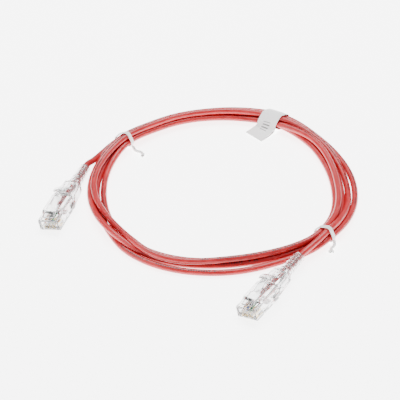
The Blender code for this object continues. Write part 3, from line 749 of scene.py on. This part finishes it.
# The two leaves, further in than the innermost turn, in millimetres.
LOWER_LEAF = ((10.8, 0.16), (6.5, 0.2), (3.5, 0.45), (1.2, 1.0))
UPPER_LEAF = ((0.9, 3.2), (3.0, 1.75), (6.0, 1.05), (11.2, 0.75))
lower, upper = [[(inner - x * MM, z * MM) for x, z in leaf] for leaf in (LOWER_LEAF, UPPER_LEAF)]
strip = resample([(x, z, 0) for x, z in lower + flat + upper], 0.7 * MM)
path = [label_middle + label_out * x + Vector((0, 0, z)) for x, z, _ in strip]
normals = []
for i in range(len(path)):
    step = path[min(i + 1, len(path) - 1)] - path[max(i - 1, 0)]
    normals.append(step.cross(label_side))
print("label strip", round(sum((b - a).length for a, b in zip(path, path[1:])) / MM, 1), "mm")

# %% Label
PAPER_THICK = 0.16 * MM
ACROSS = 8
PAPER_PROFILE = [(-PAPER_THICK / 2, LABEL_WIDTH * (i / ACROSS - 0.5)) for i in range(ACROSS + 1)]
PAPER_PROFILE += [(PAPER_THICK / 2, LABEL_WIDTH * (0.5 - i / ACROSS)) for i in range(ACROSS + 1)]
# The strip begins to bend this far inside the innermost turn.
BEND_OVER = 5 * MM
label = sweep("label", path, PAPER_PROFILE, normals)
# Where the strip lies on the turns, it bends round with them.
for vertex in label.data.vertices:
    spot = vertex.co - RING_CENTRE
    reach = (vertex.co - label_middle).dot(label_out)
    share = min(1.0, max(0.0, (reach - inner + BEND_OVER) / BEND_OVER))
    radius = Vector((spot.x, spot.y)).length
    scale = 1 + share * ((middle_radius + reach) / radius - 1)
    vertex.co = RING_CENTRE + Vector((spot.x * scale, spot.y * scale, spot.z))
smooth(label, 60)
label.data.materials.append(PAPER)
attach(label, "cable")
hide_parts("length_label")
print(label.name, len(label.data.polygons), "faces")

# %% [markdown]
# ## The pieces on the cable
# The ties and the label are attached to the cable's body, and go where the turns go.

# %% [markdown]
# ## Clear plastic
# The plug is moulded in clear polycarbonate, and the boot and its latch guard in softer clear
# plastic, which is a little cloudy. Both are shells with real walls, so the shader lets light
# through and bends it, and the wear goes into its roughness and bump. Each index is a little
# lower than the real plastic's, because the wires then show better through the many walls, as
# they do on the real plug. The strain bars are pressed down hard on the cable, which leaves them
# cloudy. Moulded edges are never quite sharp: a small bevel on each copy of the imported shapes
# catches the light.

# %% Clear materials
def clear_plastic(name, tint, ior, weight, low, high, depth):
    """A plastic by its tint, index, share of light let through, roughness range and relief."""
    made, tree, shader = start_material(name)
    place = add(tree, "TexCoord").outputs["Object"]
    worn = add_wear(tree, place, depth)
    pale = tuple(min(1.0, value + 0.02) for value in tint)
    colour = blend(tree, spread(tree, worn["Blotch"], 0.35, 0.7), tint, pale)
    colour = blend(tree, maths(tree, "MULTIPLY", worn["Scratch"], 0.12), colour, (0.88, 0.88, 0.88))
    haze = maths(tree, "ADD", spread(tree, worn["Blotch"], 0.3, 0.75, low, high),
                 maths(tree, "MULTIPLY", worn["Scratch"], 0.12))
    connect(tree, shader, colour, haze, worn["Normal"])
    shader.inputs["IOR"].default_value = ior
    shader.inputs["Transmission Weight"].default_value = weight
    print(name, len(tree.nodes), "nodes")
    return made


CLEAR = clear_plastic("clear_polycarbonate", (0.99, 0.995, 0.995), 1.46, 0.95, 0.02, 0.09, 0.006 * MM)
CLEAR_SOFT = clear_plastic("clear_soft_plastic", (0.985, 0.99, 0.99), 1.42, 0.94, 0.05, 0.16, 0.012 * MM)
CLOUDY = clear_plastic("cloudy_polycarbonate", (0.96, 0.965, 0.96), 1.40, 0.45, 0.15, 0.3, 0.008 * MM)

# %% Moulded pieces
# Corners nearer than MERGE become one, and so do faces that meet at less than FLAT.
MERGE, FLAT = 0.002 * MM, math.radians(1.5)
# Edges sharper than this are softened.
SHARP = math.radians(40)


def mould(node_name, name, body, material, width):
    """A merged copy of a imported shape, with soft edges and its own finish."""
    mesh = nodes[node_name].data.copy()
    piece = bpy.data.objects.new(name, mesh)
    bpy.context.scene.collection.objects.link(piece)
    bpy.ops.object.select_all(action="DESELECT")
    bpy.context.view_layer.objects.active = piece
    piece.select_set(True)
    bpy.ops.object.mode_set(mode="EDIT")
    bpy.ops.mesh.select_all(action="SELECT")
    bpy.ops.mesh.remove_doubles(threshold=MERGE)
    bpy.ops.mesh.dissolve_limited(angle_limit=FLAT)
    bpy.ops.object.mode_set(mode="OBJECT")
    bevel = piece.modifiers.new("soft edges", "BEVEL")
    bevel.width = width
    bevel.segments = 2
    bevel.limit_method = "ANGLE"
    bevel.angle_limit = SHARP
    bevel.use_clamp_overlap = True
    bpy.ops.object.modifier_apply(modifier=bevel.name)
    smooth(piece, 35)
    mesh.materials.clear()
    mesh.materials.append(material)
    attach(piece, body)
    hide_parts(node_name)
    print(name, len(mesh.polygons), "faces")


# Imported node, new piece, body, material, slot, and width of the soft edge in millimetres.
MOULDED = (
    ("housing", "plug_shell", "cable", CLEAR, "clear_polycarbonate", 0.12),
    ("boot", "plug_boot", "cable", CLEAR_SOFT, "clear_soft_plastic", 0.16),
    ("latch", "plug_latch", "latch", CLEAR, "clear_polycarbonate", 0.12),
    ("latch_guard", "plug_guard", "guard", CLEAR_SOFT, "clear_soft_plastic", 0.14),
    ("strain_bar", "plug_bar", "cable", CLOUDY, "clear_polycarbonate", 0.1),
)
for letter in PLUGS:
    for node_name, name, body, material, slot, width in MOULDED:
        body = body if body == "cable" else f"{body}_{letter}"
        mould(f"{node_name}_{letter}", f"{name}_{letter}", body, material, width * MM)

# %% [markdown]
# ## Contacts and wires
# The eight blades are gilt on phosphor bronze, rolled and cut, so they have fine lines and a few
# paler rubbed spots. The wires are the four pairs in their usual order. On the white ones
# of each pair the colour of its partner goes on in short rings.

# %% Gold plate
GOLD, tree, shader = start_material("gold_plate")
place = add(tree, "TexCoord").outputs["Object"]
worn = add_wear(tree, place, 0.006 * MM)
colour = blend(tree, spread(tree, worn["Blotch"], 0.3, 0.7), (0.86, 0.58, 0.20), (0.95, 0.72, 0.34))
colour = blend(tree, maths(tree, "MULTIPLY", worn["Scratch"], 0.5), colour, (0.72, 0.66, 0.56))
connect(tree, shader, colour, spread(tree, worn["Grain"], 0.3, 0.7, 0.18, 0.36), worn["Normal"])
shader.inputs["Metallic"].default_value = 1.0
for letter in PLUGS:
    for number in range(1, 9):
        contact = nodes[f"contact_{letter}_{number}"]
        for slot in contact.material_slots:
            slot.material = GOLD
print("gold plate on 16 contacts")

# %% Wire insulation
ORANGE, GREEN, BLUE, BROWN = (0.80, 0.22, 0.02), (0.01, 0.26, 0.06), (0.01, 0.07, 0.42), (0.16, 0.055, 0.02)
WHITE = (0.82, 0.81, 0.78)
# Each wire's name, its colour, and the colour of its rings if it has them, from pin 1 to pin 8.
WIRES = (
    ("white_orange", WHITE, ORANGE), ("orange", ORANGE, None), ("white_green", WHITE, GREEN),
    ("blue", BLUE, None), ("white_blue", WHITE, BLUE), ("green", GREEN, None),
    ("white_brown", WHITE, BROWN), ("brown", BROWN, None),
)
RING_EVERY, RING_SHARE = 3.1 * MM, 0.38


def insulation(name, base, ring_colour, heading):
    """Satin insulation. Rings go round the wire, which runs the way its plug is heading."""
    made, tree, shader = start_material(name)
    place = add(tree, "TexCoord").outputs["Object"]
    worn = add_wear(tree, place, 0.008 * MM)
    darker = tuple(value * 0.8 for value in base)
    colour = blend(tree, spread(tree, worn["Blotch"], 0.35, 0.7), darker, base)
    if ring_colour:
        turned = add(tree, "Mapping", {"Vector": place, "Rotation": (0, 0, -math.radians(heading))})
        x = add(tree, "SeparateXYZ", {"Vector": turned.outputs[0]}).outputs["X"]
        cell = maths(tree, "FRACT", maths(tree, "DIVIDE", x, RING_EVERY))
        ring = maths(tree, "LESS_THAN", cell, RING_SHARE)
        colour = blend(tree, ring, colour, ring_colour)
    connect(tree, shader, colour, spread(tree, worn["Grain"], 0.3, 0.7, 0.3, 0.45), worn["Normal"])
    return made


for letter, plug in PLUGS.items():
    for number, (name, base, ring_colour) in enumerate(WIRES, 1):
        finish = insulation(f"wire_{name}_{letter}", base, ring_colour, plug["heading"])
        for slot in nodes[f"wire_{letter}_{number}"].material_slots:
            slot.material = finish
print("insulation on 16 wires")

# %% [markdown]
# ## Table and light
# The cable lies on a plain white sweep under large soft lights. The sweep glows by itself, as a
# lit table does, so that shadows stay pale.

# %% Table
bpy.ops.object.select_all(action="DESELECT")
bpy.ops.mesh.primitive_plane_add(size=6, location=(0, 0, 0))
table = bpy.context.object
table.name = "table"
TABLE, tree, shader = start_material("table_white")
shader.inputs["Base Color"].default_value = (0.95, 0.95, 0.95, 1)
shader.inputs["Roughness"].default_value = 0.55
shader.inputs["Emission Color"].default_value = (1, 1, 1, 1)
shader.inputs["Emission Strength"].default_value = 5.0
table.data.materials.append(TABLE)
print("table glows at", shader.inputs["Emission Strength"].default_value)

# %% World and lights
world = bpy.data.worlds.new("world")
bpy.context.scene.world = world
world.use_nodes = True
world.node_tree.nodes["Background"].inputs["Color"].default_value = (1, 1, 1, 1)
world.node_tree.nodes["Background"].inputs["Strength"].default_value = 0.5


def area_light(name, place, size, power):
    """A soft light that looks at the coil. Its size is in metres and its power in watts."""
    data = bpy.data.lights.new(name, "AREA")
    data.shape = "RECTANGLE"
    data.size, data.size_y = size
    data.energy = power
    light = bpy.data.objects.new(name, data)
    bpy.context.scene.collection.objects.link(light)
    light.location = place
    light.rotation_euler = (CAMERA_TARGET - Vector(place)).to_track_quat("-Z", "Y").to_euler()


area_light("overhead", (0.05, 0.45, 1.0), (1.0, 0.6), 22)
area_light("left", (-1.0, -0.3, 0.8), (0.6, 0.6), 5)
print("lights:", [light.name for light in bpy.data.lights])
